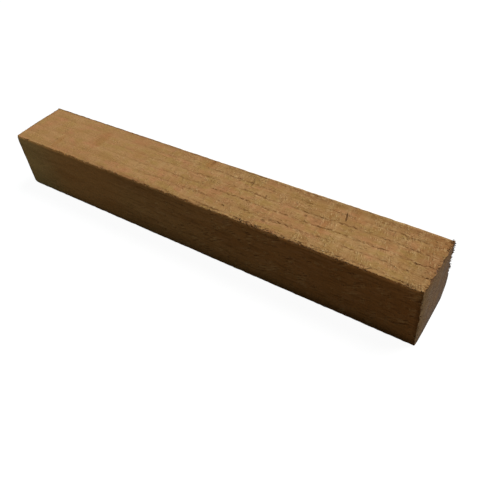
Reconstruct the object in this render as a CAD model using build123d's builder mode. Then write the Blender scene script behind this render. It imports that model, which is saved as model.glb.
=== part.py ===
from build123d import *
import os

# A square sawn turning blank, one piece of hardwood with its grain along X.
# It lies on a long face. The near end is the crosscut at +X, where the saw came out
# through the back and the top and tore the fibres along those two arrises.
# The far end kept a few splinters along its upper arris, the longest at the back corner.

# The stock, sawn to 3/4 x 3/4 x 5 1/2 inch, its length over the splinters
stock_width = 19.05
stock_height = 19.05
stock_length = 139.7

# Long arrises, rubbed off a little by handling
upper_round = 0.2
lower_round = 0.35

# Corners knocked off: the reach of each break along the grain, across and up
far_foot_along = 1.6
far_foot_across = 1.2
far_foot_up = 1.1
back_foot_along = 0.75
back_foot_across = 2.4
back_foot_up = 4.2
front_foot_along = 0.6
front_foot_across = 0.7
front_foot_up = 0.7
front_head_along = 0.5
front_head_across = 0.5
front_head_up = 0.4

# Flakes lost from the upper front arris, by their distance from the near end
flake_places = [21.6, 31.5, 40.1, 45.7, 66.8, 81.4]
flake_length = 3.4
flake_depth = 0.32

# Splinters left standing down the back arris of the near end: distance below the top, reach
splinter_drops = [0.85, 2.85, 3.7, 8.85, 10.25]
splinter_reaches = [0.12, 0.18, 0.14, 0.3, 0.1]
splinter_width = 0.6
splinter_thickness = 0.4
tip_share = 0.33

# The lowest splinters stand just above the corner that is knocked off there
foot_splinter_rises = [1.7, 2.8]
foot_splinter_reaches = [0.1, 0.16]

# Bites torn out of the same arris between the splinters: distance below the top, depth
bite_drops = [2.15, 4.45, 6.05, 7.35, 9.55, 10.95]
bite_depths = [0.2, 0.28, 0.42, 0.36, 0.42, 0.3]
bite_across = 1.5
bite_groove_share = 0.8
bite_groove_length = 3.2

# Splinters along the upper arris of the far end, the longest at its back corner
far_spike_reach = 0.5
far_spike_inset = 0.2
far_count = 5
far_reach = 0.25
far_margin = 2.4
far_width = 0.25
far_thickness = 0.35

# Grooves torn back along the grain from the upper arris of the near end
crest_count = 7
crest_radius = 0.3
crest_length = 2.4
crest_margin = 1.8

# What the sizes above give
half_width = stock_width / 2
far_x = -stock_length / 2 + max(far_spike_reach, far_reach)
cut_x = stock_length / 2 - max(splinter_reaches + foot_splinter_reaches)
body_length = cut_x - far_x

crest_pitch = (stock_width - 2 * crest_margin) / (crest_count - 1)
far_pitch = (stock_width - 2 * far_margin) / (far_count - 1)


# Torn wood is uneven: a share from 0 to 1 that jumps about from one tear to the next
def uneven(number):
    golden_share = 0.618
    return (number * golden_share) % 1


# The plane that breaks a corner off, facing outwards, given the corner's signs and reach
def break_plane(side_x, side_y, side_z, along, across, up):
    corner_x = cut_x if side_x > 0 else far_x
    corner_z = stock_height if side_z > 0 else 0
    start = (corner_x - side_x * along, side_y * half_width, corner_z)
    return Plane(origin=start, z_dir=(side_x / along, side_y / across, side_z / up))


# A cone torn out of the wood, widest where it starts
def tear_out(start, direction, radius, length):
    with Locations(Plane(origin=start, z_dir=direction)):
        Cone(radius, 0, length, align=(Align.CENTER, Align.CENTER, Align.MIN), mode=Mode.SUBTRACT)


# A splinter that narrows from its root to its tip, one long side kept straight
def add_splinter(root, thickness, width, reach):
    sections = []
    for plane, share in ((root, 1), (root.offset(reach), tip_share)):
        with BuildSketch(plane) as section:
            Rectangle(thickness * share, width * share, align=(Align.MIN, Align.CENTER))
        sections.append(section.sketch)
    loft(sections)


with BuildPart() as blank:
    # The sawn prism between its two crosscuts
    with BuildSketch(Plane.YZ.offset(far_x)):
        with Locations((0, stock_height / 2)):
            Rectangle(stock_width, stock_height)
    extrude(amount=body_length)

    # Rubbed long arrises, the upper two and then the lower two
    for level, radius in ((-1, upper_round), (0, lower_round)):
        fillet(blank.edges().filter_by(Axis.X).group_by(Axis.Z)[level], radius=radius)

    # Broken corners: the far front foot, and three at the near end
    far_foot = break_plane(-1, -1, -1, far_foot_along, far_foot_across, far_foot_up)
    back_foot = break_plane(1, 1, -1, back_foot_along, back_foot_across, back_foot_up)
    front_foot = break_plane(1, -1, -1, front_foot_along, front_foot_across, front_foot_up)
    front_head = break_plane(1, -1, 1, front_head_along, front_head_across, front_head_up)
    for corner in (far_foot, back_foot, front_foot, front_head):
        split(bisect_by=corner, keep=Keep.BOTTOM)

    # Flakes: a shallow round scoop across the arris, deepest in its middle
    for number, place in enumerate(flake_places):
        depth = flake_depth * (0.6 + 0.4 * uneven(number))
        length = flake_length * (0.5 + 0.5 * uneven(number + 2))
        scoop_radius = (length**2 / 4 + depth**2) / (2 * depth)
        arris = Plane(
            origin=(cut_x - place, -half_width, stock_height), x_dir=(1, 0, 0), z_dir=(0, -1, -1)
        )
        with BuildSketch(arris.offset(-flake_length)):
            with Locations((0, scoop_radius - depth)):
                Circle(scoop_radius)
        extrude(amount=2 * flake_length, mode=Mode.SUBTRACT)

    # Bites out of the back arris, each with a groove that fades along the grain
    for number, (drop, depth) in enumerate(zip(bite_drops, bite_depths)):
        start = (cut_x, half_width, stock_height - drop)
        tear_out(start, (0, -1, 0), depth, bite_across)
        groove_length = bite_groove_length * (0.6 + 0.4 * uneven(number + 1))
        tear_out(start, (-1, 0, 0), depth * bite_groove_share, groove_length)

    # Grooves out of the upper arris in the same way
    for number in range(crest_count):
        start = (cut_x, half_width - crest_margin - number * crest_pitch, stock_height)
        size = 0.5 + 0.5 * uneven(number + 3)
        tear_out(start, (-1, 0, 0), crest_radius * size, crest_length * size)

    # Splinters at the near end, flush with the back face
    heights = [stock_height - drop for drop in splinter_drops]
    heights += [back_foot_up + rise for rise in foot_splinter_rises]
    for height, reach in zip(heights, splinter_reaches + foot_splinter_reaches):
        root = Plane(origin=(cut_x, half_width, height), x_dir=(0, -1, 0), z_dir=(1, 0, 0))
        add_splinter(root, splinter_thickness, splinter_width, reach)

    # Splinters at the far end, flush with the top: the long one, then the row of short ones
    far_splinters = [(upper_round + far_spike_inset, far_spike_reach)]
    for number in range(far_count):
        reach = far_reach * (0.5 + 0.5 * uneven(number + 1))
        far_splinters.append((far_margin + number * far_pitch, reach))
    for inset, reach in far_splinters:
        start = (far_x, half_width - inset, stock_height)
        root = Plane(origin=start, x_dir=(0, 0, -1), z_dir=(-1, 0, 0))
        add_splinter(root, far_thickness, far_width, reach)

blank.part.label = "turning_blank"

os.makedirs("parts", exist_ok=True)
export_step(blank.part, "parts/turning_blank.step")
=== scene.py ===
import math

import bpy
import numpy as np
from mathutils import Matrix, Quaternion, Vector, noise


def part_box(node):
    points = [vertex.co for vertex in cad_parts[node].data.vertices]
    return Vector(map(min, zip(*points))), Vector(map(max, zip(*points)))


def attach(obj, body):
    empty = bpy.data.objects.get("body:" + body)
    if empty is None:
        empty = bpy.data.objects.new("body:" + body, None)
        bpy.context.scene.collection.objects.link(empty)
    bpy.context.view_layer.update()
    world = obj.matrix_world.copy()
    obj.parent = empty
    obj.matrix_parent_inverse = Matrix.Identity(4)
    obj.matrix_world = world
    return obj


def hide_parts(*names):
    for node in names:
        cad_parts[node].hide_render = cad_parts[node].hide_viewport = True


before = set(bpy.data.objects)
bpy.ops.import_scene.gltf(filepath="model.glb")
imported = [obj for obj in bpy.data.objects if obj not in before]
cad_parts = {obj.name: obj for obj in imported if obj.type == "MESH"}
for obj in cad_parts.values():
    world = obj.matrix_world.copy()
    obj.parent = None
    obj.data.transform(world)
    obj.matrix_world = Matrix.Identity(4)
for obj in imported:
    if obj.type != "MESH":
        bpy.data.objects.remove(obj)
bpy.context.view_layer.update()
boxLow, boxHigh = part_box("turning_blank")

mm = 0.001
halfWidth = boxHigh.y
blankHeight = boxHigh.z
halfHeight = blankHeight / 2
farReach = 0.5 * mm  # the two cuts lie this far inside the box, and splinters fill the rest
nearReach = 0.3 * mm
farEnd = boxLow.x + farReach
cutPlane = boxHigh.x - nearReach

# The same places in millimetres
nearX, farX = cutPlane / mm, farEnd / mm
backY, topZ = halfWidth / mm, blankHeight / mm
frontY = -backY

# Growth layers of the tree, as cylinders about a pith that lies well behind the blank.
# The grooves in the mesh and the dark lines in the colour both follow them.
growth = {
    "pithAcross": 70 * mm,
    "pithUp": 2 * mm,
    "spacing": 3.39 * mm,
    "firstLine": 66.85 * mm,
    "swings": ((47 * mm, 0.055, 1.3), (13.7 * mm, 0.035, 0.4), (5.3 * mm, 0.018, 2.6)),
    "bowLength": 1.9 * mm,  # the dark dashes bow to and fro over this length
    "blockLength": 2.2 * mm,  # and the wood between two lines changes tone over this one
}

# Washboard left by the saw across the long faces
sawMarks = {
    "pitch": 4.08 * mm,
    "slant": 0.12,
    "wander": 0.09,
    "scoreDepth": 0.05 * mm,
    "scoreBreadth": 0.07,
    "scoreReach": 0.13,  # half breadth of its colour, as a share of the pitch
    "swellDepth": 0.03 * mm,
}

# The sawn blank itself, a dense skin over the square prism
skin = {
    "facesAcross": 66,
    "crowding": 0.3,  # how far the faces gather towards the arrises
    "step": 0.52 * mm,
    "fineStep": 0.2 * mm,
    "fineLength": 6 * mm,  # this much of the torn end has the fine step
    "arrisRound": 0.2 * mm,
    "arrisSizes": (1.5, 0.9, 1.3, 1.2),  # as shares of it, from the upper front arris round
    "arrisWander": 0.22 * mm,
    "arrisLeast": 0.1 * mm,
    "roughness": 0.05 * mm,
    "grainSize": (1.7 * mm, 0.4 * mm, 0.4 * mm),
    "lineGroove": 0.06 * mm,
    "lineBreadth": 0.07,
    "lineBreaks": (3 * mm, 1 * mm, 1 * mm),
    "sawFade": 0.9 * mm,  # the saw marks fade out this far from an arris
    "sharpAngle": math.radians(55),
    "endRoughness": 0.06 * mm,
    "endSweep": (-40 * mm, -90 * mm),  # the scores on the ends curve about this place
    "endPitch": 0.9 * mm,
    "endFade": 0.6 * mm,
}

# Flakes lost from the upper front arris, by their distance from the near end
flakes = {
    "places": (21.6 * mm, 31.5 * mm, 40.1 * mm, 45.7 * mm, 66.8 * mm, 81.4 * mm),
    "length": 3.4 * mm,
    "depth": 0.32 * mm,
}

# Torn end, all in millimetres. Along the back arris, height, reach and half breadth of each
# splinter, and the same of each bite between them; then the grooves that run back from the
# bites and from the upper arris
tornEnd = {
    "splinters": (
        (5.9, 0.1, 0.3), (7.0, 0.16, 0.3), (8.8, 0.08, 0.2), (10.35, 0.24, 0.3),
        (15.4, 0.12, 0.3), (16.2, 0.16, 0.25), (18.2, 0.12, 0.3),
    ),
    "bites": (
        (8.2, 0.38, 0.3), (9.6, 0.56, 0.34), (11.7, 0.46, 0.6),
        (12.95, 0.56, 0.4), (14.25, 0.38, 0.55), (16.85, 0.36, 0.22),
    ),
    "biteInward": 1.5,
    "grooveShare": 0.8,
    "grooveLength": 3.2,
    "crestCount": 7,
    "crestMargin": 1.8,
    "crestRadius": 0.3,
    "crestLength": 2.4,
}

# The crosscut's edges are ragged as well: depth on each side, how far it reaches,
# and the share of the top's depth by which its edge laps out over the cut
rags = {
    "top": 0.55 * mm,
    "topLap": 0.36,
    "back": 0.05 * mm,
    "front": 0.36 * mm,
    "inward": 0.6 * mm,
    "alongGrain": 2.2 * mm,
    "backCorner": 1.2 * mm,  # near the back corner the top's edge stays whole
}

# Upper front arris: wood torn off it leaves it set back in places, and elsewhere it sags
tears = {
    "back": 0.26 * mm,
    "backAcross": 1.0 * mm,
    "backLedge": 0.75 * mm,
    "sag": 0.36 * mm,
    "sagReach": 1.2 * mm,
    "sagBelow": 0.1 * mm,  # it sags only where it is set back by less than this
}

# Splinters left along the upper arris of the far end, the longest at its back corner
farFringe = {
    "spikeReach": 0.5 * mm,
    "spikeInset": 0.4 * mm,
    "count": 5,
    "reach": 0.25 * mm,
    "margin": 2.4 * mm,
    "breadth": 0.2 * mm,
    "thickness": 0.35 * mm,
}

# Corners knocked off: which corner, then how far its break reaches along,
# across and up in millimetres
knocks = {
    "farFoot": ((-1, -1, -1), (1.1, 0.9, 0.75)),
    "farHead": ((-1, -1, 1), (0.42, 9, 2.5)),
    "backFoot": ((1, 1, -1), (0.75, 2.4, 4.2)),
    "backFootSlant": ((1, 1, -1), (0.25, 14, 6)),
    "backHead": ((1, 1, 1), (12, 8, 0.36)),
    "frontFoot": ((1, -1, -1), (0.4, 0.4, 0.4)),
    "frontHead": ((1, -1, 1), (0.5, 0.5, 0.4)),
}

# Snags on the top, in millimetres: distance from the far end, distance from the back arris,
# half length across, half breadth along, depth and slant
snags = {
    "slit": (112.9, 4.6, 1.25, 0.17, 0.24, 0.33),
    "backTear": (83.8, 3.6, 1.7, 0.36, 0.1, 0.25),
    "backNotch": (68.4, 1.3, 1.3, 0.36, 0.09, 0),
    "frontPit": (95.0, 15.9, 0.35, 0.5, 0.12, 0.5),
    "smallPit": (82.2, 15.8, 0.3, 0.4, 0.12, 0.4),
    "midPit": (90.4, 7.5, 0.7, 0.24, 0.1, 0.3),
    "midDot": (103.6, 9.1, 0.3, 0.35, 0.11, 0.2),
    "nearScratch": (125.6, 4.9, 0.7, 0.2, 0.07, 0.1),
    "nearDot": (133.8, 11.8, 0.4, 0.3, 0.09, 0.1),
    "tornCorner": (138.4, 0.6, 0.7, 0.6, 0.14, 0),
    "farTear": (27.6, 8.3, 1.4, 0.4, 0.03, 0.1),
    "farCrease": (14.6, 16.2, 2.0, 0.4, 0.03, 0.05),
}

# The growth line fades out beside the slit: the same order, with a strength for the depth
calm = {
    "besideSlit": (115.4, 4.5, 1.0, 2.0, 1.0, 0),
}

# Rusty stains on the top, given like the fading
stains = {
    "farFront": (16.0, 14.8, 3.0, 1.0, 0.34, 0.1),
    "farMiddle": (28.5, 7.5, 4.0, 1.7, 0.3, 0.1),
    "farStreak": (45.5, 8.6, 1.4, 2.2, 0.22, 0),
    "backRust": (68.0, 2.0, 1.8, 1.2, 0.5, 0),
    "middle": (80.5, 9.0, 2.0, 1.0, 0.2, 0.1),
    "nearBand": (109.8, 9.8, 5.5, 0.9, 0.4, 0.1),
    "nearBack": (116.0, 3.6, 2.6, 1.5, 0.22, 0.2),
    "tornBack": (136.5, 3.0, 3.4, 2.0, 0.25, 0),
    "tornFront": (131.5, 12.5, 4.0, 0.9, 0.25, 0.1),
}


def smoothStep(low, high, value):
    share = np.clip((value - low) / (high - low), 0, 1)
    return share * share * (3 - 2 * share)


def waver(place, size, seed):  # smooth noise, about -1 to 1, at each place given by x, y and z
    points = np.stack(np.broadcast_arrays(*place), -1)
    shift = np.array([17.3, 5.1, 9.7]) * seed
    rows = (points / size + shift).reshape(-1, 3)
    return np.array([noise.noise(Vector(row)) for row in rows]).reshape(points.shape[:-1])


def uneven(number):  # each tear has its own share of the full size
    return (number * 0.618) % 1


def growthCount(x, y, z):  # whole numbers are the dark lines between two layers
    radius = np.hypot(y - growth["pithAcross"], z - growth["pithUp"])
    count = (radius - growth["firstLine"]) / growth["spacing"]
    for length, swing, start in growth["swings"]:
        count = count + swing * np.sin(2 * math.pi * x / length + start)
    return count


def sawDepth(x, y, z):
    phase = (x + sawMarks["slant"] * (y + z)) / sawMarks["pitch"]
    phase = phase + sawMarks["wander"] * waver((x, y, z), 11 * mm, 5)
    off = np.abs(phase - np.round(phase))
    strength = smoothStep(-0.5, 0.5, waver((x, y, z), 3 * mm, 6))
    score = sawMarks["scoreDepth"] * np.exp(-((off / sawMarks["scoreBreadth"]) ** 2)) * strength
    swell = sawMarks["swellDepth"] * (0.5 - 0.5 * np.cos(2 * math.pi * phase))
    return score + swell


def grooveRow(behind, off, grooves):  # cones that run back from the crosscut
    depth = np.zeros_like(behind)
    for place, radius, length in grooves:
        here = radius * np.clip(1 - behind / length, 0, 1)
        depth = np.maximum(depth, np.sqrt(np.clip(here**2 - (off - place) ** 2, 0, None)))
    return depth


def topGrooves(x, y):
    inset = halfWidth - tornEnd["crestMargin"] * mm
    grooves = []
    for number in range(tornEnd["crestCount"]):
        size = (0.5 + 0.5 * uneven(number + 3)) * mm
        place = inset * (1 - 2 * number / (tornEnd["crestCount"] - 1))
        grooves.append((place, tornEnd["crestRadius"] * size, tornEnd["crestLength"] * size))
    return grooveRow(cutPlane - x, y, grooves)


def backGrooves(x, z):
    grooves = []
    for number, (height, depth, _) in enumerate(tornEnd["bites"]):
        length = tornEnd["grooveLength"] * (0.6 + 0.4 * uneven(number + 1))
        grooves.append((height * mm, depth * tornEnd["grooveShare"] * mm, length * mm))
    return grooveRow(cutPlane - x, z, grooves)


def backEdge(y, z):  # how far the back arris is bitten back, below zero where a splinter stands out
    gap = (halfWidth - y) / mm
    edge = np.zeros_like(z)
    for height, reach, breadth in tornEnd["splinters"]:
        shape = np.exp(-(((z / mm - height) / breadth) ** 4)) * np.exp(-gap / 0.6)
        edge = np.minimum(edge, -reach * mm * shape)
    inward = np.clip(1 - gap / tornEnd["biteInward"], 0, 1)
    for height, depth, breadth in tornEnd["bites"]:
        shape = np.exp(-(((z / mm - height) / breadth) ** 6))
        edge = np.maximum(edge, depth * mm * shape * inward)
    return edge


def rag(y, z):  # how far the crosscut's edge is torn back along its arrises
    torn = 0.5 * smoothStep(-0.35, 0.45, waver((0, y, z), 1.9 * mm, 3))
    torn += 0.3 * smoothStep(-0.3, 0.4, waver((0, y, z), 0.8 * mm, 4))
    torn += 0.2 * smoothStep(-0.3, 0.4, waver((0, y, z), 0.34 * mm, 14))
    gaps = (blankHeight - z, halfWidth - y, halfWidth + y)
    nearness = [np.exp(-np.abs(gap) / rags["inward"]) for gap in gaps]
    corner = smoothStep(0, rags["backCorner"], halfWidth - y)
    top = rags["top"] * (torn - rags["topLap"]) * corner * nearness[0]
    front = rags["front"] * torn * nearness[2] * (1 - nearness[0])
    return top + front + rags["back"] * torn * nearness[1] + backEdge(y, z)


def fringe(y, z):  # how far the far end's upper arris stands out
    splinters = [(farFringe["spikeInset"], farFringe["spikeReach"])]
    pitch = 2 * (halfWidth - farFringe["margin"]) / (farFringe["count"] - 1)
    for number in range(farFringe["count"]):
        size = 0.5 + 0.5 * uneven(number + 1)
        splinters.append((farFringe["margin"] + number * pitch, farFringe["reach"] * size))
    reach = np.zeros_like(y)
    for inset, length in splinters:
        off = (halfWidth - inset - y) / farFringe["breadth"]
        reach = np.maximum(reach, length * np.exp(-(off**4)))
    return reach * np.exp(-np.abs(blankHeight - z) / farFringe["thickness"])


def snagDepth(x, y):
    depth = np.zeros_like(x)
    for fromFar, fromBack, halfLength, halfBreadth, deep, slant in snags.values():
        acrossOff = halfWidth - fromBack * mm - y
        alongOff = x - farEnd - fromFar * mm - slant * acrossOff
        reach = (alongOff / (halfBreadth * mm)) ** 2 + (acrossOff / (halfLength * mm)) ** 2
        depth = np.maximum(depth, deep * mm * np.exp(-(reach**1.5)))
    return depth


def flakeShares(x):  # for each flake its number, and how deep it is at each station
    for number, place in enumerate(flakes["places"]):
        halfLength = flakes["length"] * (0.5 + 0.5 * uneven(number + 2)) / 2
        yield number, np.clip(1 - ((x - cutPlane + place) / halfLength) ** 2, 0, 1)


def arrisRounds(x):  # radius of the four long arrises at each station, the upper front one first
    rounds = []
    along = (x, 0, 0)
    for arris, size in enumerate(skin["arrisSizes"]):
        wander = 0.5 * waver(along, 7 * mm, 10 + arris) + 0.9 * waver(along, 1.3 * mm, 20 + arris)
        radius = size * skin["arrisRound"] + wander * skin["arrisWander"]
        rounds.append(np.clip(radius, skin["arrisLeast"], None))
    for number, share in flakeShares(x):
        depth = flakes["depth"] * (0.6 + 0.4 * uneven(number))
        rounds[0] = np.maximum(rounds[0], depth * share / (math.sqrt(2) - 1))
    return np.stack(rounds, 1)


def arrisTears(x):  # how far the upper front arris is set back, and how far it sags
    along = (x, 0, 0)
    back = smoothStep(0.0, 0.5, waver(along, 2.4 * mm, 31) + 0.5 * waver(along, 0.9 * mm, 32))
    back = tears["back"] * back
    for number, share in flakeShares(x):
        depth = flakes["depth"] * (0.8 + 0.6 * uneven(number))
        back = np.maximum(back, depth * share)
    whole = back < tears["sagBelow"]
    sag = tears["sag"] * smoothStep(0.0, 0.45, waver(along, 4.5 * mm, 33)) * whole
    return back[:, None], sag[:, None]


def tearArris(points):
    back, sag = arrisTears(points[:, 0, 0])
    fromFront, fromTop = points[..., 1] + halfWidth, blankHeight - points[..., 2]
    ledge = tears["backLedge"]
    reached = 1 - smoothStep(0, tears["backAcross"], fromFront)
    reached = reached * (1 - smoothStep(0.6 * ledge, ledge, fromTop))
    lowered = 1 - smoothStep(0, tears["sagReach"], np.hypot(fromFront, fromTop))
    points[..., 1] += back * reached
    points[..., 2] -= sag * lowered


def knockCorners(points):  # what stands outside a broken corner is laid onto its break
    for signs, reach in knocks.values():
        signs = np.array(signs)
        tipX = cutPlane if signs[0] > 0 else farEnd
        tip = np.array([tipX, signs[1] * halfWidth, (signs[2] + 1) * halfHeight])
        normal = signs / (np.array(reach) * mm)
        outside = np.clip((points - tip) @ normal + 1, 0, None)
        points = points - outside[..., None] * normal / (normal @ normal)
    return points


def stations():
    fineStart = cutPlane - skin["fineLength"]
    coarseCount = round((fineStart - farEnd) / skin["step"])
    fineCount = round(skin["fineLength"] / skin["fineStep"])
    coarse = np.linspace(farEnd, fineStart, coarseCount + 1)
    fine = np.linspace(fineStart, cutPlane, fineCount + 1)
    return np.concatenate([coarse, fine[1:]])


def sideShares():  # places along one side of the section, from -1 to 1
    even = np.linspace(-1, 1, skin["facesAcross"] + 1)
    return (1 - skin["crowding"]) * even + skin["crowding"] * np.sin(even * math.pi / 2)


def skinPoints():  # one row of points for each station: along the top, down the back and round
    x = stations()
    oneSide = sideShares()[:-1]
    share = np.tile(oneSide, 4)
    side = np.repeat(np.arange(4), len(oneSide))  # top, back, bottom, front
    outward = np.array([(0, 1), (1, 0), (0, -1), (-1, 0)])[side]
    running = np.array([(1, 0), (0, -1), (-1, 0), (0, 1)])[side]
    runHalf = np.array([halfWidth, halfHeight, halfWidth, halfHeight])[side]
    outHalf = np.array([halfHeight, halfWidth, halfHeight, halfWidth])[side]
    radius = arrisRounds(x)[:, np.where(share < 0, side, (side + 1) % 4)]
    inset = runHalf * (1 - np.abs(share)) + 0 * radius
    turn = np.clip(1 - inset / radius, 0, 1) * math.pi / 4
    bend = np.sign(share) * (runHalf - radius + radius * np.sin(turn))
    run = np.where(turn > 0, bend, runHalf * share)
    out = np.where(turn > 0, outHalf - radius + radius * np.cos(turn), outHalf)
    section = run[..., None] * running + out[..., None] * outward
    facing = (np.sign(share) * np.sin(turn))[..., None] * running + np.cos(turn)[..., None] * outward
    points = np.stack([x[:, None] + 0 * run, section[..., 0], section[..., 1] + halfHeight], -1)

    px, py, pz = np.moveaxis(points, -1, 0)  # views, so they follow every change to the points
    place = (px, py, pz)
    coarseGrain = np.array(skin["grainSize"])
    depth = skin["roughness"] * (0.5 + 0.5 * waver(place, coarseGrain, 1))
    depth += skin["roughness"] * (0.25 + 0.25 * waver(place, coarseGrain / 2.5, 2))
    lineOff = growthCount(*place)
    lineOff = np.abs(lineOff - np.round(lineOff))
    broken = smoothStep(-0.4, 0.4, waver(place, np.array(skin["lineBreaks"]), 7))
    depth += skin["lineGroove"] * np.exp(-((lineOff / skin["lineBreadth"]) ** 2)) * broken
    depth += smoothStep(0, skin["sawFade"], inset) * sawDepth(*place)
    depth += (side == 0) * (snagDepth(px, py) + topGrooves(px, py))
    depth += (side == 1) * backGrooves(px, pz)
    points[..., 1:] -= depth[..., None] * facing
    tearArris(points)

    nearness = np.clip(1 - (cutPlane - px) / rags["alongGrain"], 0, 1) ** 2
    px -= nearness * rag(py, pz)
    farness = np.clip(1 - (px - farEnd) / rags["alongGrain"], 0, 1) ** 2
    px -= farness * fringe(py, pz)
    return knockCorners(points)


def capPoints(ring):  # points inside one end, stretched between the four sides of its ring
    count = skin["facesAcross"]
    u = (sideShares() + 1) / 2
    top = ring[: count + 1]
    back = ring[count : 2 * count + 1]
    bottom = ring[2 * count : 3 * count + 1][::-1]
    front = np.concatenate([ring[3 * count :], ring[:1]])[::-1]
    across = u[:, None, None]
    down = u[None, :, None]
    grid = (1 - down) * top[:, None] + down * bottom[:, None]
    grid = grid + (1 - across) * front[None] + across * back[None]
    grid = grid - (1 - across) * ((1 - down) * top[0] + down * bottom[0])
    return grid - across * ((1 - down) * top[-1] + down * bottom[-1])


def endDepth(y, z):  # curved scores of the crosscut saw and the coarse end grain
    edge = np.minimum(halfWidth - np.abs(y), halfHeight - np.abs(z - halfHeight))
    middleY, middleZ = skin["endSweep"]
    sweep = np.hypot(y - middleY, z - middleZ) / skin["endPitch"]
    sweep = sweep + 0.5 * waver((0, y, z), 6 * mm, 8)
    scores = 0.2 + 0.2 * np.sin(2 * math.pi * sweep)
    coarse = 0.3 + 0.3 * waver((0, y, z), 0.7 * mm, 9)
    return skin["endRoughness"] * (scores + coarse) * smoothStep(0, skin["endFade"], edge)


def blankMesh():
    rows = skinPoints()
    rowCount, ringCount = rows.shape[:2]
    count = skin["facesAcross"]
    vertices = [rows.reshape(-1, 3)]
    faces = []
    ringNext = (np.arange(ringCount) + 1) % ringCount
    for row in range(rowCount - 1):
        here, there = row * ringCount, (row + 1) * ringCount
        for k in range(ringCount):
            following = int(ringNext[k])
            faces.append((here + k, there + k, there + following, here + following))
    sideFaces = len(faces)
    total = rowCount * ringCount
    for row, plane, inward in ((0, farEnd, 1), (rowCount - 1, cutPlane, -1)):
        grid = capPoints(rows[row])
        y, z = grid[..., 1], grid[..., 2]
        torn = rag(y, z) if inward < 0 else -fringe(y, z)
        grid[..., 0] = plane + inward * (torn + endDepth(y, z))
        inner = knockCorners(grid[1:-1, 1:-1].reshape(-1, 3))
        index = np.empty((count + 1, count + 1), int)
        start = row * ringCount
        index[:, 0] = start + np.arange(count + 1)
        index[-1, :] = start + count + np.arange(count + 1)
        index[::-1, -1] = start + 2 * count + np.arange(count + 1)
        index[0, 1:] = start + 4 * count - 1 - np.arange(count)
        index[1:-1, 1:-1] = total + np.arange((count - 1) ** 2).reshape(count - 1, count - 1)
        total += (count - 1) ** 2
        vertices.append(inner)
        for i in range(count):
            for j in range(count):
                loop = (index[i, j], index[i, j + 1], index[i + 1, j + 1], index[i + 1, j])
                faces.append(tuple(int(v) for v in (loop if inward < 0 else loop[::-1])))
    mesh = bpy.data.meshes.new("sawnBlank")
    mesh.from_pydata(np.concatenate(vertices).tolist(), [], faces)
    mesh.validate()
    for number, polygon in enumerate(mesh.polygons):
        polygon.use_smooth = True
        polygon.material_index = 0 if number < sideFaces else 1
    mesh.set_sharp_from_angle(angle=skin["sharpAngle"])
    return mesh


# Shader helpers: a value is a socket or a plain number

def treeOf(*values):  # the node tree of the first socket among them
    return next(value.id_data for value in values if isinstance(value, bpy.types.NodeSocket))


def wire(socket, value):
    if isinstance(value, bpy.types.NodeSocket):
        socket.id_data.links.new(value, socket)
    else:
        socket.default_value = value


def addNode(tree, kind, inputs=None, **settings):
    made = tree.nodes.new(kind)
    for name, value in settings.items():
        setattr(made, name, value)
    for name, value in (inputs or {}).items():
        wire(made.inputs[name], value)
    return made


def fed(kind, inputs, output=0, **settings):  # one output of a node in the tree that feeds it
    return addNode(treeOf(*inputs.values()), kind, inputs, **settings).outputs[output]


def maths(operation, *values):
    return fed("ShaderNodeMath", dict(enumerate(values)), operation=operation)


def plus(first, second):
    return maths("ADD", first, second)


def minus(first, second):
    return maths("SUBTRACT", first, second)


def divided(first, second):
    return maths("DIVIDE", first, second)


def larger(first, second):
    return maths("MAXIMUM", first, second)


def timesPlus(first, second, third):
    return maths("MULTIPLY_ADD", first, second, third)


def times(*factors):
    product = factors[0]
    for factor in factors[1:]:
        product = maths("MULTIPLY", product, factor)
    return product


def ramp(value, low, high, start=0.0, end=1.0):  # smooth, from start at low to end at high
    inputs = dict(enumerate((value, low, high, start, end)))
    return fed("ShaderNodeMapRange", inputs, interpolation_type="SMOOTHSTEP")


def fall(value, low, high):
    return ramp(value, low, high, 1.0, 0.0)


def mmRamp(value, low, high, start=0.0, end=1.0):  # low and high in millimetres
    return ramp(value, low * mm, high * mm, start, end)


def mmFall(value, low, high):
    return mmRamp(value, low, high, 1.0, 0.0)


def between(value, low, full, fading, gone):  # 1 within a stretch that is given in millimetres
    return times(mmRamp(value, low, full), mmFall(value, fading, gone))


def vectorMaths(operation, first, second):
    return fed("ShaderNodeVectorMath", {0: first, 1: second}, operation=operation)


def scaled(vector, factor):
    return fed("ShaderNodeVectorMath", {0: vector, "Scale": factor}, operation="SCALE")


def split(vector):
    return addNode(treeOf(vector), "ShaderNodeSeparateXYZ", {0: vector}).outputs


def joined(*values):
    return fed("ShaderNodeCombineXYZ", dict(enumerate(values)))


def cloud(cells, detail=2.0, rough=0.5):
    inputs = {"Vector": cells, "Scale": 1.0, "Detail": detail, "Roughness": rough}
    return fed("ShaderNodeTexNoise", inputs, "Fac")


def grain(position, along, across, shift=0.0, detail=2.0, rough=0.5):  # its cells in millimetres
    cells = vectorMaths("MULTIPLY", position, (1 / (along * mm), 1 / (across * mm), 1 / (across * mm)))
    if shift:
        cells = vectorMaths("ADD", cells, (shift, 2.3 * shift, 1.7 * shift))
    return cloud(cells, detail, rough)


def mixed(share, under, over):
    return fed("ShaderNodeMix", {0: share, 6: under, 7: over}, 2, data_type="RGBA")


def layered(colour, tones, layers):  # each layer: where it lies, how strongly, and in which tone
    for share, strength, name in layers:
        colour = mixed(times(share, strength), colour, tones[name])
    return colour


def heaped(parts):  # each part: where it lies and how high it stands
    height = 0.0
    for share, lift in parts:
        height = timesPlus(share, lift, height)
    return height


def fromPith(across, up):
    return minus(across, growth["pithAcross"]), minus(up, growth["pithUp"])


# Shader groups: each function takes a group's inputs and gives back its outputs

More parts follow.
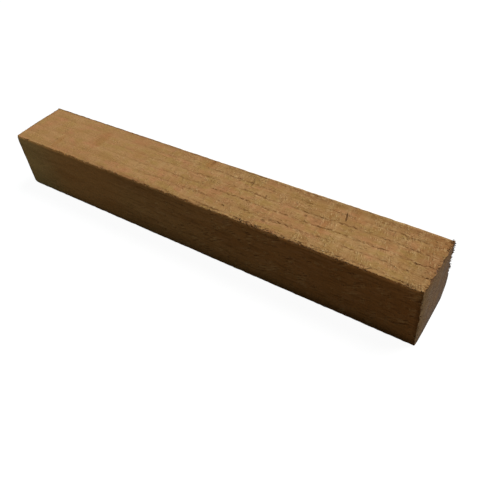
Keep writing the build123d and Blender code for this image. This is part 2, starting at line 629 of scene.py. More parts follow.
def growthLines(given):  # broad darkening before each line, the row of fine dashes on it, and pale flecks beside them as painted highlight
    position, jolt, nearGain = given["Position"], given["Jolt"], given["Near Gain"]
    along, across, up = split(position)
    acrossOff, upOff = fromPith(across, up)
    radius = maths("SQRT", timesPlus(upOff, upOff, times(acrossOff, acrossOff)))
    count = divided(minus(radius, growth["firstLine"]), growth["spacing"])
    for length, swing, start in growth["swings"]:
        angle = timesPlus(along, 2 * math.pi / length, start)
        count = timesPlus(maths("SINE", angle), swing, count)
    shake = minus(grain(position, 2, 0.8, detail=3.0), 0.5)
    count = timesPlus(shake, given["Wobble"], count)
    bow = maths("PINGPONG", timesPlus(shake, 1.2, divided(along, growth["bowLength"])), 0.5)
    count = timesPlus(maths("POWER", bow, 2.0), jolt, count)

    gain = timesPlus(mmRamp(along, -45, 20), nearGain, minus(1.0, nearGain))
    strength = times(ramp(grain(position, 5, 2), 0.36, 0.58, 0.16, 1.0), gain)
    dashed = times(strength, mmRamp(along, -28, 26, given["Dash Far"], 1.0))
    bead = grain(position, 1, 0.6, 7.0)
    joltedCount = timesPlus(minus(grain(position, 0.8, 3, 4.0, 1.0), 0.5), jolt, count)
    breadths = divided(maths("PINGPONG", joltedCount, 0.5), given["Dash Breadth"])  # away from a line
    block = joined(divided(along, growth["blockLength"]), times(maths("FLOOR", joltedCount), 7.3))
    shade = times(ramp(maths("PINGPONG", count, 0.5), 0.02, 0.16, 0.4, 0.0), strength)
    band = larger(times(fall(breadths, 0.4, 2.2), strength), shade)
    dash = times(ramp(bead, 0.46, 0.6), fall(breadths, 0.3, 1.0), dashed)
    # pale flecks beside the dashes: painted highlight of their tiny relief
    frayHighlight = times(fall(bead, 0.34, 0.46), fall(breadths, 1.0, 3.2), dashed)
    layer = maths("POWER", maths("FRACT", count), 2.5)
    return band, dash, frayHighlight, layer, cloud(block, rough=0.6)


def poreSlits(given):  # short slits lying along the grain, each with a raised lip beside it
    size = joined(given["Length"], given["Breadth"], given["Breadth"])
    cells = vectorMaths("DIVIDE", given["Position"], size)
    found = addNode(treeOf(cells), "ShaderNodeTexVoronoi", {"Vector": cells, "Scale": 1.0}).outputs
    pick = addNode(treeOf(cells), "ShaderNodeSeparateColor", {0: found["Color"]}).outputs
    inside = fall(found["Distance"], 0.12, 0.42)
    present = maths("LESS_THAN", pick[0], given["Share"])
    lifted = maths("GREATER_THAN", pick[1], 0.72)
    return times(inside, present), times(inside, lifted)


# Grain of the sawn wood: length and breadth of a streak in mm, then shift, detail and roughness
grainKinds = {
    "Long": (6, 0.7, 21.0, 4.0, 0.62),
    "Coarse": (2.4, 0.5, 0.0, 3.0, 0.55),
    "Fine": (1.2, 0.17, 3.0, 4.0, 0.65),
    "Fur": (0.75, 0.38, 5.0, 3.0, 0.62),
}

# Drifting colour: length, breadth and shift of a patch, then where it begins and where it is full
driftKinds = {
    "Warm": (7, 3.4, 0.0, 0.42, 0.66),
    "Dull": (6, 2.6, 11.0, 0.42, 0.66),
    "Deep": (24, 5, 17.0, 0.35, 0.68),
}


def fibreGrain(given):
    position = given["Position"]
    patch = ramp(grain(position, 4.5, 3, 9.0), 0.42, 0.62, 0.12, 1.0)
    torn = times(patch, mmRamp(split(position)["X"], -50, 25, 0.3, 1.0))
    return [grain(position, *kind) for kind in grainKinds.values()] + [torn]


def colourDrift(given):
    drifts = []
    for along, across, shift, low, high in driftKinds.values():
        drifts.append(ramp(grain(given["Position"], along, across, shift, 3.0), low, high))
    return drifts


# Each group: the function that fills it, its inputs beside the position, and its outputs
groupKinds = {
    "growthLines": (
        growthLines,
        ("Wobble", "Jolt", "Dash Breadth", "Dash Far", "Near Gain"),
        ("Band", "Dash", "FrayHighlight", "Layer", "Block"),
    ),
    "pores": (poreSlits, ("Length", "Breadth", "Share"), ("Pore", "Lip")),
    "fibres": (fibreGrain, (), (*grainKinds, "Torn")),
    "colourDrift": (colourDrift, (), tuple(driftKinds)),
}


def makeGroup(name, fill, inputs, outputs):
    group = bpy.data.node_groups.new(name, "ShaderNodeTree")
    group.interface.new_socket(name="Position", in_out="INPUT", socket_type="NodeSocketVector")
    for side, labels in (("INPUT", inputs), ("OUTPUT", outputs)):
        for label in labels:
            group.interface.new_socket(name=label, in_out=side, socket_type="NodeSocketFloat")
    given = group.nodes.new("NodeGroupInput").outputs
    result = group.nodes.new("NodeGroupOutput").inputs
    for label, value in zip(outputs, fill(given)):
        wire(result[label], value)
    return group


def useGroup(name, position, **values):
    inputs = {"Position": position, **values}
    return addNode(treeOf(position), "ShaderNodeGroup", inputs, node_tree=groups[name]).outputs


def leaned(along, across, up, slant):
    return timesPlus(plus(across, up), slant, along)


def sawScores(position):  # washboard of the saw: a trough and a burr at each tooth mark
    breadth = sawMarks["scoreReach"]
    drift = minus(grain(position, 5, 1.6, detail=4.0, rough=0.7), 0.5)
    lean = leaned(*split(position), sawMarks["slant"])
    phase = timesPlus(drift, 0.7, divided(lean, sawMarks["pitch"]))
    patch = ramp(grain(position, 2.2, 1.1, detail=3.0, rough=0.6), 0.46, 0.62)
    places = (phase, minus(phase, breadth))
    return [times(fall(maths("PINGPONG", place, 0.5), 0.0, breadth), patch) for place in places]


def scratches(position):  # fine scratches in clusters: the dark ones, the pale ones and streaks
    along, across, up = split(position)
    cluster = times(ramp(grain(position, 3.2, 2.4, 15.0), 0.5, 0.62), mmRamp(along, -40, 15))
    scratch = grain(joined(leaned(along, across, up, 0.28), across, up), 0.26, 1.6, 13.0)
    streak = grain(joined(along, across, timesPlus(along, -0.43, up)), 2.4, 0.34, 25.0)
    shares = (fall(scratch, 0.34, 0.46), ramp(scratch, 0.54, 0.66), minus(streak, 0.5))
    return [times(share, cluster) for share in shares]


def markMask(position, marks, fullDepth=1.0):  # 1 in the middle of each mark that is deep enough
    shake = timesPlus(grain(position, 0.9, 0.9, 19.0, rough=0.6), 3.0, -1.5)
    along, across, _ = split(position)
    mask = 0.0
    for mark in marks.values():
        fromFar, fromBack, halfLength, halfBreadth = (size * mm for size in mark[:4])
        depth, slant = mark[4:]
        acrossOff = minus(halfWidth - fromBack, across)
        alongOff = timesPlus(acrossOff, -slant, minus(along, farEnd + fromFar))
        alongOff = divided(alongOff, halfBreadth)
        reach = timesPlus(alongOff, alongOff, maths("POWER", divided(acrossOff, halfLength), 2.0))
        strength = min(1.0, depth / fullDepth)
        mask = larger(ramp(plus(reach, shake), 0.2, 2.2, strength, 0.0), mask)
    return mask


def tone(red, green, blue):  # a colour given in the 0 to 255 of a picture
    def linear(value):
        value = value / 255
        return value / 12.92 if value <= 0.04045 else ((value + 0.055) / 1.055) ** 2.4
    return (linear(red), linear(green), linear(blue), 1.0)


# Tones and finish of the three kinds of surface
longFaces = {
    "plain": tone(176, 138, 91),
    "warm": tone(174, 126, 84),
    "pink": tone(180, 124, 87),
    "olive": tone(160, 131, 73),
    "deep": tone(148, 107, 64),
    "pale": tone(203, 169, 118),
    "line": tone(124, 86, 49),
    # dark flecks and dashes, also laid as painted shade in the snags
    "fleckAndShade": tone(98, 64, 36),
    "rustAndShade": tone(152, 102, 56),
    # Side tones for the front only: a darker, more saturated copy of the wood, partly the side grain's
    # own tone and partly painted shade
    "shadedSidePlain": tone(169, 124, 73),
    "shadedSideDeep": tone(138, 95, 50),
    "shadedSideNear": tone(158, 105, 55),
    "shadedSideFar": tone(166, 137, 86),
    # dark streaks and grime, also laid as painted shade low on the front
    "grimeAndShade": tone(84, 53, 25),
    # a pale tone laid as painted highlight along the front's upper arris
    "rimHighlight": tone(234, 164, 94),
    "growth": {"Wobble": 0.16, "Jolt": 0.16, "Dash Breadth": 0.065, "Dash Far": 0.3, "Near Gain": 0.92},
    "slits": {"Length": 1.5 * mm, "Breadth": 0.36 * mm, "Share": 0.2},
    "specks": {"Length": 0.7 * mm, "Breadth": 0.42 * mm, "Share": 0.22},
    "snagShadeFull": 0.2,  # a snag this deep, in millimetres, is painted dark all through, as shade in the pit; shallower ones less
    "roughness": 0.85,
    "shine": 0.03,
    "relief": 0.22 * mm,
}
endFaces = {
    "plain": tone(155, 137, 116),
    "dull": tone(136, 116, 100),
    "olive": tone(144, 117, 70),
    "tan": tone(160, 123, 78),
    "grey": tone(140, 126, 116),
    "mauve": tone(148, 119, 103),
    "pale": tone(180, 154, 120),
    "line": tone(117, 94, 71),
    # pore tone: real pores, and also painted shade in the torn grooves and at the foot
    "poreAndShade": tone(70, 53, 41),
    # on the ends this tone is painted shadow under the top's lapping edge
    "rustAndShade": tone(122, 78, 54),
    "growth": {"Wobble": 0.05, "Jolt": 0.0, "Dash Breadth": 0.1, "Dash Far": 1.0, "Near Gain": 0.0},
    "vessels": {"Length": 3 * mm, "Breadth": 0.36 * mm, "Share": 0.4},
    "raysPerRadian": 260.0,
    "roughness": 0.9,
    "shine": 0.03,
    "relief": 0.13 * mm,
}
tornFibres = {
    "pale": tone(184, 142, 96),
    "plain": tone(128, 90, 54),
    # the dull and dark tones make torn slivers near black: painted shade among the torn fibres
    "dull": tone(66, 46, 32),
    "dark": tone(34, 24, 18),
    "roughness": 0.9,
    "shine": 0.03,
    "relief": 0.22 * mm,
}


def newMaterial(name, look):
    made = bpy.data.materials.new(name)
    made.use_nodes = True
    shader = made.node_tree.nodes["Principled BSDF"]
    wire(shader.inputs["Specular IOR Level"], look["shine"])
    return made, shader, addNode(made.node_tree, "ShaderNodeTexCoord").outputs


def finishSurface(shader, look, colour, height, fur):
    relief = {"Height": height, "Distance": look["relief"], "Strength": 1.0}
    wire(shader.inputs["Base Color"], colour)
    wire(shader.inputs["Roughness"], ramp(fur, 0.3, 0.7, look["roughness"] - 0.06, 0.97))
    wire(shader.inputs["Normal"], fed("ShaderNodeBump", relief))


def shadedFrontColour(position, fibres, drift):  # the front: a darker, more saturated copy of the wood, partly its side grain's own tone and partly painted shade, with a painted highlight along its upper arris and painted shade at its foot
    along, _, up = split(position)
    coarse, long = fibres["Coarse"], fibres["Long"]
    wavyShadeHeight = timesPlus(grain(position, 1.2, 0.5, detail=3.0, rough=0.6), 2.5 * mm, up)
    footShadeReach = mmRamp(along, 0, 50, 1.9 * mm, 2.7 * mm)
    offMiddle = maths("ABSOLUTE", plus(along, 10 * mm))
    # painted highlight along the front's upper arris, as if its rounding caught the light from above
    rimHighlight = times(
        fall(minus(blankHeight, up), 0.2 * mm, mmRamp(offMiddle, 12, 40, 1.1 * mm, 1.25 * mm)),
        mmRamp(offMiddle, 12, 40, 0.66, 1.0),
        ramp(coarse, 0.36, 0.5, 0.55, 1.0),
    )
    nearRim = times(mmFall(minus(cutPlane, along), 0.3, 1.5), ramp(coarse, 0.3, 0.5))
    return layered(longFaces["shadedSidePlain"], longFaces, (
        (drift["Deep"], 1.0, "shadedSideDeep"),
        (mmRamp(along, -35, 55), 0.7, "shadedSideNear"),
        (ramp(long, 0.5, 0.7), 0.55, "warm"),
        (fall(long, 0.32, 0.48), 0.5, "grimeAndShade"),
        # painted shade: the lower front darkens below a wavy line, more towards the near end
        (mmFall(wavyShadeHeight, 1.4, 5), mmRamp(along, -25, 0, 0.25, 0.5), "grimeAndShade"),
        (between(along, -62, -46, -32, -18), 0.6, "shadedSideNear"),
        # painted shadow along the foot of the front, where it meets the floor
        (fall(up, 0.3 * mm, footShadeReach), 0.75, "grimeAndShade"),
        (mmFall(along, -68, -48), 0.5, "shadedSideFar"),
        (rimHighlight, 1.0, "rimHighlight"),
        (nearRim, 0.7, "grimeAndShade"),
    ))


def longFaceMaterial():
    made, shader, coordinates = newMaterial("sawnLongFace", longFaces)
    position = coordinates["Object"]
    lines = useGroup("growthLines", position, **longFaces["growth"])
    slits = useGroup("pores", position, **longFaces["slits"])
    specks = useGroup("pores", position, **longFaces["specks"])
    fibres = useGroup("fibres", position)
    drift = useGroup("colourDrift", position)
    coarse, fine, fur, torn = (fibres[name] for name in ("Coarse", "Fine", "Fur", "Torn"))

    _, facingBack, facingUp = split(coordinates["Normal"])
    top = ramp(facingUp, 0.4, 0.8)
    flat = ramp(maths("ABSOLUTE", facingUp), 0.4, 0.8)  # the top and the base
    front = fall(facingBack, -0.8, -0.4)

    def sideOrFlat(sideShare, flatShare):
        return ramp(flat, 0.0, 1.0, sideShare, flatShare)

    along, across, _ = split(position)
    fromNear, fromFar = minus(cutPlane, along), minus(along, farEnd)
    fromBack, fromFront = minus(halfWidth, across), plus(across, halfWidth)
    pinkShare = times(drift["Warm"], mmRamp(along, 0, 50, 0.8, 0.62))
    ground = layered(longFaces["plain"], longFaces, (
        (pinkShare, sideOrFlat(0.35, 1.0), "pink"),
        (drift["Dull"], sideOrFlat(0.5, 0.8), "olive"),
        (drift["Deep"], 0.4, "deep"),
        (mmRamp(along, -60, 10, 0.3, 0.0), 1.0, "warm"),
    ))
    # the front takes the darker side tones, partly as painted shade
    ground = mixed(front, ground, shadedFrontColour(position, fibres, drift))

    streaks = times(ramp(coarse, 0.38, 0.68), mmRamp(along, -50, 0, 0.28, 1.0))
    backBand = times(between(fromBack, 0.6, 1, 1.4, 2.9), mmRamp(along, -20, 55, 0.1, 1.0), top)
    paleRim = times(mmFall(fromBack, 0.4, 0.8), mmRamp(along, 0, 40), top)
    darkRim = times(mmFall(fromBack, 0.1, 0.75), mmRamp(along, -50, 30, 0.9, 0.0), top)
    # painted shade along the top's front edge, where it rounds away from the light
    frontEdgeShade = times(mmFall(fromFront, 0.5, 1.3), between(along, -45, -25, 2, 14), top)
    sawn = mmRamp(along, -40, 10, 0.35, 1.0)
    trough, lip = sawScores(position)
    score, burr = times(trough, sawn), times(lip, sawn, flat)
    darkScuffs, paleScuffs, streaked = scratches(position)
    streaked = times(streaked, front)
    sawnFlat = times(sawn, flat)
    uncalmed = times(minus(1.0, times(markMask(position, calm), top)), flat)
    lined = times(uncalmed, mmRamp(across, 3.4, 4.4, 1.0, 0.78))
    band = times(lines["Band"], lined, mmRamp(along, 10, 35, 0.68, 0.5))
    dash = times(lines["Dash"], lined)
    flecks = times(larger(slits["Pore"], specks["Pore"]), torn)
    # painted shade in the snags, darker the deeper they are
    snagShade = times(markMask(position, snags, longFaces["snagShadeFull"]), top)
    farRim = times(mmFall(fromFar, 0.1, 0.7), ramp(coarse, 0.35, 0.55))
    colour = layered(ground, longFaces, (
        (times(lines["Layer"], flat), 0.3, "deep"),
        (streaks, 0.4, "deep"),
        (ramp(fine, 0.42, 0.62), times(sideOrFlat(1.8, 1.0), 0.17), "line"),
        (times(mmFall(fromNear, 2.5, 8), top), 0.38, "line"),
        (backBand, 0.6, "line"),
        (paleRim, 0.28, "pale"),
        (darkRim, ramp(coarse, 0.38, 0.52, 0.45, 1.0), "grimeAndShade"),
        (frontEdgeShade, 0.35, "line"),
        (times(ramp(fur, 0.5, 0.68), torn, flat), 0.4, "pale"),
        (times(fall(fur, 0.34, 0.48), torn), 0.2, "line"),
        (times(ramp(lines["Block"], 0.5, 0.68), sawnFlat), 0.16, "pale"),
        (times(fall(lines["Block"], 0.32, 0.48), sawnFlat), 0.2, "deep"),
        (score, 0.16, "line"),
        (burr, 0.22, "pale"),
        (times(markMask(position, stains), top), 1.0, "rustAndShade"),
        (band, 1.0, "line"),
        # painted highlight beside the dashes
        (times(lines["FrayHighlight"], flat), 0.4, "pale"),
        (times(darkScuffs, flat), 0.6, "line"),
        (ramp(streaked, 0.02, 0.14), 0.26, "pale"),
        (fall(streaked, -0.14, -0.02), 0.6, "grimeAndShade"),
        (paleScuffs, sideOrFlat(0.22, 0.6), "pale"),
        (flecks, 0.38, "fleckAndShade"),
        (dash, 0.72, "fleckAndShade"),
        (snagShade, 0.75, "fleckAndShade"),
        (farRim, 0.7, "grimeAndShade"),
    ))
    height = heaped((
        (coarse, 0.6),
        (fine, 0.4),
        (fur, times(timesPlus(torn, 0.9, 0.3), sideOrFlat(0.2, 1.0))),
        (larger(flecks, dash), -0.5),
        (times(larger(slits["Lip"], specks["Lip"]), torn), 0.5),
        (times(paleScuffs, flat), 0.3),
        (snagShade, -1.5),
        (times(score, sideOrFlat(0.4, 1.0)), -0.3),
        (burr, 0.25),
    ))
    finishSurface(shader, longFaces, colour, height, fur)
    return made


def endFaceMaterial():
    made, shader, coordinates = newMaterial("sawnEndGrain", endFaces)
    position = coordinates["Object"]
    lines = useGroup("growthLines", position, **endFaces["growth"])
    vessels = useGroup("pores", position, **endFaces["vessels"])
    fibres = useGroup("fibres", position)
    drift = useGroup("colourDrift", position)
    coarse, fur, block = fibres["Coarse"], fibres["Fur"], lines["Block"]
    patches = grain(position, 3, 3.6, 23.0, 3.0, 0.6)
    smudge = grain(position, 3, 1.3, 27.0, 3.0, 0.6)
    ragged = ramp(coarse, 0.35, 0.6, 0.25, 1.0)

    along, across, up = split(position)
    acrossOff, upOff = fromPith(across, up)
    turn = times(maths("ARCTAN2", upOff, acrossOff), endFaces["raysPerRadian"])
    spokes = {"W": turn, "Scale": 1.0, "Detail": 2.0}
    rays = fed("ShaderNodeTexNoise", spokes, "Fac", noise_dimensions="1D")

    nearFace = mmRamp(along, -1, 1)
    fromTop = minus(blankHeight, up)
    fromBack, fromFront = minus(halfWidth, across), plus(across, halfWidth)
    signs, reach = knocks["backFoot"]
    breakOff = 1.0 - (nearX * signs[0] / reach[0] + backY * signs[1] / reach[1])
    for place, sign, length in zip((along, across, up), signs, reach):
        breakOff = timesPlus(place, sign / (length * mm), breakOff)
    greyShare = times(mmFall(up, 2, 17), mmRamp(across, -7, 5, 0.4, 1.0))
    footGrey = times(mmFall(up, 1.5, 6), ramp(across, -halfWidth, 0.0, 0.4, 1.0))
    lowBand = times(mmFall(up, 0.6, 2.2), ramp(smudge, 0.42, 0.54), nearFace)
    footShade = times(mmFall(up, 0.4, 1.6), mmRamp(across, -5, 0), nearFace)
    # painted shade in the torn grooves along the back arris of the near end
    tornShadeStrip = times(mmFall(fromBack, 0.4, 2.2), mmRamp(up, 5, 11, 0.6, 1.0), nearFace)
    dots = larger(times(vessels["Pore"], 0.65), times(lines["Dash"], 0.25))
    colour = layered(endFaces["plain"], endFaces, (
        (drift["Dull"], 0.8, "dull"),
        (mmFall(fromTop, 0.5, 6), 0.7, "tan"),
        (greyShare, 0.85, "grey"),
        (ramp(patches, 0.5, 0.64), 0.48, "tan"),
        (fall(patches, 0.36, 0.48), 0.7, "grey"),
        (ramp(block, 0.5, 0.6), 0.3, "tan"),
        (fall(block, 0.4, 0.5), 0.5, "mauve"),
        (mmFall(fromFront, 0.5, 7), 0.75, "olive"),
        (times(ramp(breakOff, -0.5, -0.1), nearFace), 0.6, "poreAndShade"),
        (ramp(smudge, 0.54, 0.66), 0.58, "line"),
        (ramp(coarse, 0.4, 0.65), 0.45, "dull"),
        (ramp(fur, 0.5, 0.7), 0.5, "pale"),
        (times(ramp(rays, 0.55, 0.68), drift["Warm"]), 0.2, "pale"),
        (lines["Band"], 0.3, "line"),
        (footGrey, 0.5, "grey"),
        (lowBand, 0.6, "poreAndShade"),
        (footShade, 0.55, "poreAndShade"),
        # painted shadow under the top's edge, which laps out over the end
        (times(mmFall(fromTop, 0.3, 1.6), ragged), 0.7, "rustAndShade"),
        (times(tornShadeStrip, ragged), 0.95, "poreAndShade"),
        (dots, 0.7, "poreAndShade"),
    ))
    finishSurface(shader, endFaces, colour, heaped(((coarse, 0.6), (fur, 1.0), (dots, -0.7))), fur)
    return made


def fibreMaterial(name, light, dark):
    made, shader, coordinates = newMaterial(name, tornFibres)
    fibres = useGroup("fibres", coordinates["Object"])
    colour = mixed(ramp(fibres["Fur"], 0.38, 0.62), dark, light)
    finishSurface(shader, tornFibres, colour, fibres["Fine"], fibres["Fur"])
    return made


# Slivers of torn wood, grown along a line by one geometry tree

sliverInputs = {
    "Start": "Vector", "End": "Vector", "Count": "Int", "Jitter": "Vector", "Direction": "Vector",
    "Spread": "Float", "Length": "Float", "Thickness": "Float", "Curl": "Float", "Low": "Vector",
    "High": "Vector", "Seed": "Int", "Material": "Material",
}
sliver = {
    "corners": 5,
    "sections": 3,
    "root": 0.5,  # radii of a sliver one wide and one long
    "tip": 0.12,
    "eddy": 1.6 / mm,
}


def sliverTree():
    tree = bpy.data.node_groups.new("slivers", "GeometryNodeTree")
    for label, kind in sliverInputs.items():
        tree.interface.new_socket(name=label, in_out="INPUT", socket_type="NodeSocket" + kind)
    tree.interface.new_socket(name="Geometry", in_out="OUTPUT", socket_type="NodeSocketGeometry")
    given = tree.nodes.new("NodeGroupInput").outputs

    def randomVector(low, high, step):
        inputs = {0: low, 1: high, 8: plus(given["Seed"], float(step))}
        return fed("FunctionNodeRandomValue", inputs, data_type="FLOAT_VECTOR")

    def moved(geometry, **target):
        return fed("GeometryNodeSetPosition", {"Geometry": geometry, **target})

    ends = {"Count": given["Count"], "Start Location": given["Start"], "Offset": given["End"]}
    line = fed("GeometryNodeMeshLine", ends, mode="END_POINTS")
    shake = vectorMaths("MULTIPLY", randomVector((-1, -1, -1), (1, 1, 1), 1), given["Jitter"])
    lean = scaled(randomVector((-1, -1, -1), (1, 1, 1), 2), given["Spread"])
    heading = vectorMaths("ADD", given["Direction"], lean)
    turn = fed("FunctionNodeAlignRotationToVector", {"Vector": heading}, axis="Z")
    cone = addNode(tree, "GeometryNodeMeshCone", {
        "Vertices": sliver["corners"], "Side Segments": sliver["sections"],
        "Radius Top": sliver["tip"], "Radius Bottom": sliver["root"], "Depth": 1.0,
    }).outputs[0]
    size = joined(given["Thickness"], given["Thickness"], given["Length"])
    size = vectorMaths("MULTIPLY", size, randomVector((0.5, 0.3, 0.3), (1.4, 0.9, 1), 3))
    planted = {"Points": moved(line, Offset=shake), "Instance": cone, "Rotation": turn, "Scale": size}
    real = fed("GeometryNodeRealizeInstances", {0: fed("GeometryNodeInstanceOnPoints", planted)})
    position = addNode(tree, "GeometryNodeInputPosition").outputs[0]
    eddy = {"Vector": position, "Scale": sliver["eddy"], "Detail": 1.0}
    eddies = fed("ShaderNodeTexNoise", eddy, "Color")
    bend = scaled(vectorMaths("SUBTRACT", eddies, (0.5, 0.5, 0.5)), given["Curl"])
    inside = vectorMaths("MINIMUM", vectorMaths("MAXIMUM", position, given["Low"]), given["High"])
    kept = moved(moved(real, Offset=bend), Position=inside)
    painted = {"Geometry": kept, "Material": given["Material"]}
    addNode(tree, "NodeGroupOutput", {0: fed("GeometryNodeSetMaterial", painted)})
    return tree


# Each row of slivers in millimetres: where it starts and ends, how many, which way and how wild
sliverRows = {
    "backTeeth": dict(
        Start=(nearX - 0.55, backY - 0.2, 6.4), End=(nearX - 0.55, backY - 0.2, 18.9),
        Count=20, Jitter=(0.1, 0.12, 0.3), Direction=(1, 0.1, 0),
        Spread=0.35, Length=0.85, Thickness=0.36, Curl=0.15, Seed=3,
    ),
    "cornerTuft": dict(
        Start=(nearX - 0.5, backY - 0.25, 15.2), End=(nearX - 0.5, backY - 0.25, 18.8),
        Count=16, Jitter=(0.1, 0.2, 0.2), Direction=(1, 0.15, 0.05),
        Spread=0.4, Length=1.0, Thickness=0.5, Curl=0.15, Seed=5,
    ),
    "farTeeth": dict(
        Start=(farX + 0.55, frontY + 1.5, topZ - 0.25), End=(farX + 0.3, backY - 0.2, topZ - 0.25),
        Count=30, Jitter=(0.1, 0.25, 0.1), Direction=(-1, 0, 0),
        Spread=0.35, Length=0.8, Thickness=0.24, Curl=0.15, Seed=62,
    ),
    "hook": dict(
        Start=(nearX - 0.3, backY - 0.2, 10.15), End=(nearX - 0.3, backY - 0.2, 10.6),
        Count=5, Jitter=(0.05, 0.1, 0.05), Direction=(1, 0.1, 0),
        Spread=0.3, Length=0.9, Thickness=0.3, Curl=0.35, Seed=8,
    ),
    "backFuzz": dict(
        Start=(nearX - 0.4, backY - 0.15, 4), End=(nearX - 0.4, backY - 0.15, 18.9),
        Count=46, Jitter=(0.1, 0.1, 0.15), Direction=(1, 0.1, 0),
        Spread=0.6, Length=0.7, Thickness=0.13, Curl=0.3, Seed=11,
    ),
    "topFlaps": dict(
        Start=(nearX - 0.5, frontY + 0.3, topZ - 0.14), End=(nearX - 0.5, backY - 0.2, topZ - 0.14),
        Count=70, Jitter=(0.2, 0.15, 0.08), Direction=(1, 0, -0.1),
        Spread=0.35, Length=0.95, Thickness=0.24, Curl=0.2, Seed=23,
    ),
    "frontTeeth": dict(
        Start=(nearX - 0.55, frontY + 0.2, 0.8), End=(nearX - 0.55, frontY + 0.2, 17.8),
        Count=40, Jitter=(0.15, 0.12, 0.3), Direction=(1, 0, -0.1),
        Spread=0.35, Length=0.75, Thickness=0.3, Curl=0.15, Seed=57,
    ),
    "frontFuzz": dict(
        Start=(-66, frontY + 0.2, topZ - 0.2), End=(nearX - 1, frontY + 0.2, topZ - 0.2),
        Count=420, Jitter=(0.3, 0.14, 0.14), Direction=(1, -0.1, -0.05),
        Spread=0.22, Length=1.4, Thickness=0.16, Curl=0.35, Seed=31,
    ),
    "frontHairs": dict(
        Start=(18, frontY + 0.5, topZ - 0.1), End=(56, frontY + 0.5, topZ - 0.1),
        Count=80, Jitter=(0.6, 0.35, 0.04), Direction=(1, 0.5, 0.06),
        Spread=0.5, Length=1.3, Thickness=0.2, Curl=0.4, Seed=47,
    ),
    "frontTufts": dict(
        Start=(20, frontY + 0.2, topZ - 0.2), End=(56, frontY + 0.2, topZ - 0.2),
        Count=260, Jitter=(0.3, 0.14, 0.18), Direction=(1, -0.15, -0.1),
        Spread=0.45, Length=1.3, Thickness=0.18, Curl=0.45, Seed=41,
    ),
}
rowLengths = ("Start", "End", "Jitter", "Length", "Thickness", "Curl")
# rows of slivers in the near-black tones of painted shade
shadedRows = ("backTeeth", "cornerTuft", "farTeeth", "hook", "backFuzz", "frontTeeth", "frontHairs")


def addObject(name, data):
    made = bpy.data.objects.new(name, data)
    bpy.context.scene.collection.objects.link(made)
    return made


def growSlivers(tree, name, row, material):
    bed = addObject(name + "Seedbed", bpy.data.meshes.new(name + "Seedbed"))
    modifier = bed.modifiers.new("slivers", "NODES")
    modifier.node_group = tree
    values = {"Low": tuple(boxLow), "High": tuple(boxHigh), "Material": material, **row}
    for label in rowLengths:
        values[label] = np.multiply(row[label], mm).tolist()
    for item in tree.interface.items_tree:
        if item.in_out == "INPUT":
            modifier[item.identifier] = values[item.name]
    evaluated = bed.evaluated_get(bpy.context.evaluated_depsgraph_get())
    grown = bpy.data.meshes.new_from_object(evaluated)
    grown.name = name
    bpy.data.objects.remove(bed)
    made = addObject(name, grown)
    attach(made, "root")
    print(name, len(grown.polygons), "faces")


# Camera where the photograph was taken from
camera = {
    "place": (91.03 * mm, -92.9 * mm, 112.09 * mm),
    "aim": (22.65 * mm, -9.06 * mm, 9.5 * mm),
    "lean": math.radians(6.954),  # its top leans to the right
    "lens": 40.51,
    "sensor": 36.0,
}


def addCamera():
    data = bpy.data.cameras.new("photoCamera")
    data.sensor_width = camera["sensor"]
    data.lens = camera["lens"]
    data.clip_start = 1 * mm
    made = addObject("photoCamera", data)
    place, aim = Vector(camera["place"]), Vector(camera["aim"])
    made.location = place
    made.rotation_mode = "QUATERNION"
    lean = Quaternion((0, 0, 1), -camera["lean"])
    made.rotation_quaternion = (aim - place).to_track_quat("-Z", "Y") @ lean
    bpy.context.scene.camera = made


# Soft light from above and a little behind, so the front stays in shade
lamps = {
    "key": {"place": (0.34, 0.5, 1.06), "size": 0.68, "power": 16.0, "colour": (1.0, 1.0, 1.0)},
    "fill": {"place": (-0.15, -0.13, 0.09), "size": 0.08, "power": 0.07, "colour": (0.56, 0.86, 1.0)},
}
white = (1.0, 1.0, 1.0, 1.0)
sky = {
    "colour": (1.0, 0.76, 0.42, 1.0),
    "strength": 0.05,
}
floor = {
    "half": 3.0,
    "bounce": (0.235, 0.18, 0.13, 1.0),
    "seen": (0.13, 0.13, 0.13, 1.0),
    "glow": 0.945,
}


def addLamp(name, place, size, power, colour):
    data = bpy.data.lights.new(name, "AREA")
    data.shape = "DISK"
    data.size = size
    data.energy = power
    data.color = colour
    made = addObject(name, data)
    made.location = place
    made.rotation_mode = "QUATERNION"
    made.rotation_quaternion = (-Vector(place)).to_track_quat("-Z", "Y")


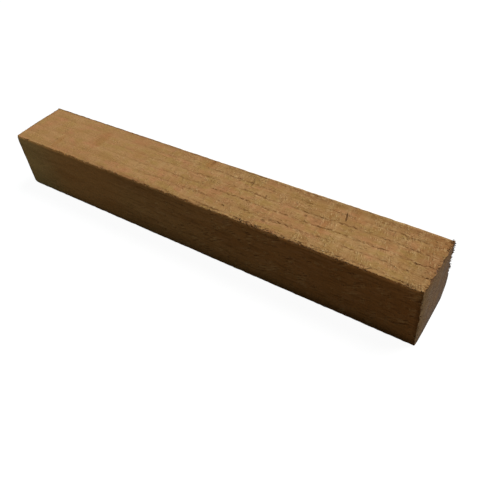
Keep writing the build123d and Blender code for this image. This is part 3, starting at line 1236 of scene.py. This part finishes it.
def seenShare(tree):  # 1 where the camera, a reflection or a clear body looks straight at it
    rays = addNode(tree, "ShaderNodeLightPath").outputs
    seen = larger(rays["Is Camera Ray"], rays["Is Glossy Ray"])
    return larger(seen, rays["Is Transmission Ray"])


def addWorld():
    world = bpy.data.worlds.new("studio")
    bpy.context.scene.world = world
    world.use_nodes = True
    seen = seenShare(world.node_tree)
    shade = world.node_tree.nodes["Background"].inputs
    wire(shade["Color"], mixed(seen, sky["colour"], white))
    wire(shade["Strength"], ramp(seen, 0.0, 1.0, sky["strength"], 1.0))


def addFloor():
    mesh = bpy.data.meshes.new("floor")
    half = floor["half"]
    corners = [(-half, -half, 0), (half, -half, 0), (half, half, 0), (-half, half, 0)]
    mesh.from_pydata(corners, [], [(0, 1, 2, 3)])
    made = addObject("floor", mesh)
    paint = bpy.data.materials.new("paleFloor")
    paint.use_nodes = True
    tree = paint.node_tree
    tree.nodes.clear()
    seen = seenShare(tree)
    matt = fed("ShaderNodeBsdfDiffuse", {"Color": mixed(seen, floor["bounce"], floor["seen"])})
    glow = fed("ShaderNodeEmission", {"Color": white, "Strength": times(seen, floor["glow"])})
    both = fed("ShaderNodeAddShader", {0: matt, 1: glow})
    addNode(tree, "ShaderNodeOutputMaterial", {"Surface": both}, is_active_output=True)
    mesh.materials.append(paint)


groups = {name: makeGroup(name, *kind) for name, kind in groupKinds.items()}
print("shader groups:", ", ".join(groups))

sawnBlank = addObject("sawnBlank", blankMesh())
sawnBlank.data.materials.append(longFaceMaterial())
sawnBlank.data.materials.append(endFaceMaterial())
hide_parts("turning_blank")
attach(sawnBlank, "root")
print("blank:", len(sawnBlank.data.polygons), "faces")

slivers = sliverTree()
paleFibre = fibreMaterial("paleFibre", tornFibres["pale"], tornFibres["plain"])
shadedFibre = fibreMaterial("shadedFibre", tornFibres["dull"], tornFibres["dark"])
for name, row in sliverRows.items():
    growSlivers(slivers, name, row, shadedFibre if name in shadedRows else paleFibre)

addCamera()
addWorld()
for name, lamp in lamps.items():
    addLamp(name, **lamp)
addFloor()
bpy.context.scene.view_settings.view_transform = "Standard"
print("camera, light and floor in place")
